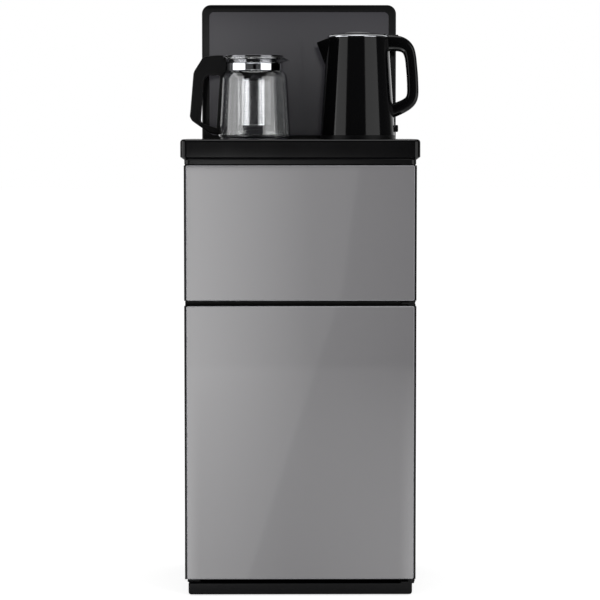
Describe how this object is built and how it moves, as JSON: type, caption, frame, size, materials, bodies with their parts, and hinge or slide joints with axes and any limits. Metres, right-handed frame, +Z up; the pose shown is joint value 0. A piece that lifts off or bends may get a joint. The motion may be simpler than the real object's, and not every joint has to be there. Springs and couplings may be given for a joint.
{
  "type": "water cooler",
  "caption": "Floor-standing tea-bar water cooler: cabinet with two grey glass doors, black deck with a kettle dock and a warming plate, upright control tower, glass teapot and electric kettle.",
  "frame": {"origin": "on the floor, below the middle of the cabinet's footprint", "axes": "+Z up, the doors face -Y, +X to the right as seen from the front"},
  "size_m": [0.4344, 0.35, 1.08],
  "materials": {
    "black_enamel": "satin black powder coat",
    "gloss_black_abs": "gloss black moulded plastic",
    "satin_black_plastic": "satin black moulded plastic",
    "grey_back_painted_glass": "float glass, painted grey on its back",
    "dark_back_painted_glass": "float glass, painted dark grey on its back",
    "clear_borosilicate": "clear polished glass",
    "brushed_stainless": "brushed stainless steel",
    "polished_chrome": "polished chrome",
    "zinc_steel": "zinc-plated steel",
    "black_rubber": "matt black rubber",
    "white_nylon": "natural white nylon",
    "white_liner": "white vacuum-formed liner",
    "silicone_hose": "milky silicone",
    "blue_cap_plastic": "blue moulded plastic",
    "cast_aluminium": "bare cast aluminium",
    "circuit_board": "green glass-fibre laminate",
    "grey_power_case": "grey folded steel"
  },
  "bodies": {
    "root": {"base_pan": "satin_black_plastic", "feet": "black_rubber", "side_panel_left": "black_enamel", "side_panel_right": "black_enamel", "rear_panel": "black_enamel", "panel_screws": "zinc_steel", "front_frame": "black_enamel", "divider_shelf": "zinc_steel", "cup_liner": "white_liner", "deck_underpan": "gloss_black_abs", "deck": "gloss_black_abs", "hinge_brackets": "black_enamel", "tower_shell": "gloss_black_abs", "tower_glass": "dark_back_painted_glass", "tower_back_cover": "satin_black_plastic", "tower_screws": "zinc_steel", "control_board": "circuit_board", "kettle_socket": "satin_black_plastic", "fill_nozzle": "white_nylon", "warming_plate": "dark_back_painted_glass", "warming_heater": "cast_aluminium", "heater_clamp": "zinc_steel", "suction_lance": "silicone_hose", "bottle_cap": "blue_cap_plastic", "lance_clips": "satin_black_plastic", "suction_hose": "silicone_hose", "pump": "satin_black_plastic", "pump_bracket": "zinc_steel", "delivery_hose": "silicone_hose", "stop_valve": "white_nylon", "power_box": "grey_power_case", "switch_housing": "satin_black_plastic", "cord_gland": "satin_black_plastic"},
    "upper_door": {"upper_door_frame": "satin_black_plastic", "upper_door_glass": "grey_back_painted_glass", "upper_door_gasket": "black_rubber", "upper_door_bushes": "satin_black_plastic"},
    "lower_door": {"lower_door_frame": "satin_black_plastic", "lower_door_glass": "grey_back_painted_glass", "lower_door_gasket": "black_rubber", "lower_door_bushes": "satin_black_plastic"},
    "kettle": {"kettle_base": "satin_black_plastic", "kettle_shell": "gloss_black_abs", "kettle_pot": "brushed_stainless", "kettle_coupler": "satin_black_plastic", "kettle_heater": "cast_aluminium", "kettle_handle": "gloss_black_abs", "kettle_rim": "polished_chrome", "kettle_lid_pin": "zinc_steel"},
    "kettle_lid_body": {"kettle_lid": "satin_black_plastic"},
    "kettle_button_body": {"kettle_lid_button": "satin_black_plastic"},
    "kettle_switch_body": {"kettle_switch": "satin_black_plastic"},
    "kettle_valve_body": {"kettle_fill_valve": "white_nylon"},
    "teapot": {"teapot_glass": "clear_borosilicate", "teapot_band": "polished_chrome", "teapot_handle": "satin_black_plastic"},
    "infuser_body": {"teapot_infuser": "brushed_stainless"},
    "teapot_lid_body": {"teapot_lid": "brushed_stainless"},
    "power_rocker": {"power_switch": "satin_black_plastic"}
  },
  "joints": [
    {"name": "upper_door_hinge", "type": "hinge", "parent": "root", "child": "upper_door", "pos_m": [0.201, -0.16, 0.66], "axis": [0, 0, 1], "range_deg": [0, 110]},
    {"name": "lower_door_hinge", "type": "hinge", "parent": "root", "child": "lower_door", "pos_m": [0.201, -0.16, 0.28], "axis": [0, 0, 1], "range_deg": [0, 110]},
    {"name": "kettle_lift", "type": "slide", "parent": "root", "child": "kettle", "axis": [0, 0, 1], "range_m": [0, 0.15]},
    {"name": "kettle_lid_hinge", "type": "hinge", "parent": "kettle", "child": "kettle_lid_body", "pos_m": [0.1587, -0.04, 1.0163], "axis": [0, 1, 0], "range_deg": [0, 80]},
    {"name": "kettle_lid_button_press", "type": "slide", "parent": "kettle", "child": "kettle_button_body", "axis": [0, 0, -1], "range_m": [0, 0.003], "stiffness_N_per_m": 400, "springref_m": -0.002},
    {"name": "kettle_switch_tilt", "type": "hinge", "parent": "kettle", "child": "kettle_switch_body", "pos_m": [0.1672, -0.04, 0.845], "axis": [0, 1, 0], "range_deg": [0, 15]},
    {"name": "kettle_valve_drop", "type": "slide", "parent": "kettle", "child": "kettle_valve_body", "axis": [0, 0, 1], "range_m": [-0.003, 0]},
    {"name": "teapot_lift", "type": "slide", "parent": "root", "child": "teapot", "axis": [0, 0, 1], "range_m": [0, 0.12]},
    {"name": "infuser_lift", "type": "slide", "parent": "teapot", "child": "infuser_body", "axis": [0, 0, 1], "range_m": [0, 0.135]},
    {"name": "teapot_lid_lift", "type": "slide", "parent": "infuser_body", "child": "teapot_lid_body", "axis": [0, 0, 1], "range_m": [0, 0.03]},
    {"name": "power_switch_rock", "type": "hinge", "parent": "root", "child": "power_rocker", "pos_m": [0.1, 0.163, 0.5532], "axis": [1, 0, 0], "range_deg": [0, 20]}
  ],
  "couplings": [
    {"joint": "kettle_valve_drop", "follows": "kettle_lift", "ratio": -0.02}
  ]
}
